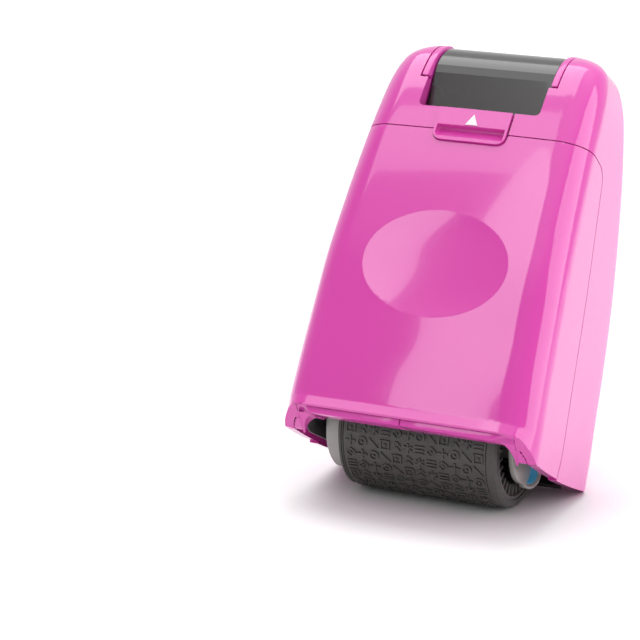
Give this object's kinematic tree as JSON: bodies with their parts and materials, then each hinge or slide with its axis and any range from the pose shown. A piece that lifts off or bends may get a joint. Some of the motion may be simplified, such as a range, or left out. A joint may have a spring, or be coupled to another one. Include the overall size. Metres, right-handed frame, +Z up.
{
  "type": "privacy roller stamp",
  "caption": "Hand-held roller stamp: a leaning plastic casing with an inked rubber roller in its mouth, a hinged front cover, a latch tab, and a thumb lever that turns a guard round the roller.",
  "frame": {"origin": "centre of the footprint's bounding box, on the floor the stamp stands on", "axes": "+X along the roller's axis to the stamp's left hand seen from its front, +Y from the front cover to the back, +Z up; the casing leans back by 26 degrees"},
  "size_m": [0.0436, 0.0524, 0.0699],
  "materials": {
    "pink_shell": "glossy",
    "grey_lever": "satin gloss",
    "clear_frame": "translucent",
    "black_plastic": "matt",
    "print_rubber": "inked rubber",
    "ink_blue": "glossy",
    "ink_felt": "felt soaked with ink",
    "steel": "bright wire and rod"
  },
  "bodies": {
    "casing": {"rear_shell": "pink_shell", "frame_right": "pink_shell", "frame_left": "pink_shell", "latch_spring": "steel", "cartridge_frame": "clear_frame", "ink_plug": "ink_blue", "bush_right": "clear_frame", "bush_left": "clear_frame", "stamp_axle": "steel", "ink_axle": "steel"},
    "cover": {"front_cover": "pink_shell"},
    "tab": {"latch_tab": "pink_shell"},
    "lever": {"thumb_lever": "grey_lever", "lever_axle": "steel", "crank_right": "black_plastic", "crank_left": "black_plastic"},
    "right_link": {"link_right": "steel"},
    "left_link": {"link_left": "steel"},
    "guard_body": {"guard": "black_plastic"},
    "print_roller": {"stamp_hub": "black_plastic", "stamp_sleeve": "print_rubber"},
    "ink_roller": {"ink_felt": "ink_felt", "ink_core": "black_plastic"}
  },
  "joints": [
    {"name": "roller_spin", "type": "hinge", "parent": "casing", "child": "print_roller", "pos_m": [0, -0.008, 0.0113], "axis": [1, 0, 0], "continuous": true},
    {"name": "ink_spin", "type": "hinge", "parent": "casing", "child": "ink_roller", "pos_m": [0, -0.00771, 0.0277], "axis": [1, 0, 0], "continuous": true},
    {"name": "cover_swing", "type": "hinge", "parent": "casing", "child": "cover", "pos_m": [0, -0.0228, 0.01585], "axis": [1, 0, 0], "range_deg": [0, 55]},
    {"name": "latch_slide", "type": "slide", "parent": "casing", "child": "tab", "axis": [0, 0.6663, 0.7457], "range_m": [0, 0.0012], "stiffness_N_per_m": 500},
    {"name": "lever_turn", "type": "hinge", "parent": "casing", "child": "lever", "pos_m": [0, 0.01669, 0.06101], "axis": [1, 0, 0], "range_deg": [-120, 0]},
    {"name": "guard_turn", "type": "hinge", "parent": "casing", "child": "guard_body", "pos_m": [0, -0.008, 0.0113], "axis": [1, 0, 0], "range_deg": [-120, 0]},
    {"name": "link_right_turn", "type": "hinge", "parent": "lever", "child": "right_link", "pos_m": [0, 0.01968, 0.06302], "axis": [1, 0, 0], "range_deg": [0, 120]},
    {"name": "link_left_turn", "type": "hinge", "parent": "lever", "child": "left_link", "pos_m": [0, 0.01968, 0.06302], "axis": [1, 0, 0], "range_deg": [0, 120]}
  ],
  "couplings": [
    {"joint": "ink_spin", "follows": "roller_spin", "ratio": -2.26},
    {"joint": "guard_turn", "follows": "lever_turn", "ratio": 1},
    {"joint": "link_right_turn", "follows": "lever_turn", "ratio": -1},
    {"joint": "link_left_turn", "follows": "lever_turn", "ratio": -1}
  ]
}
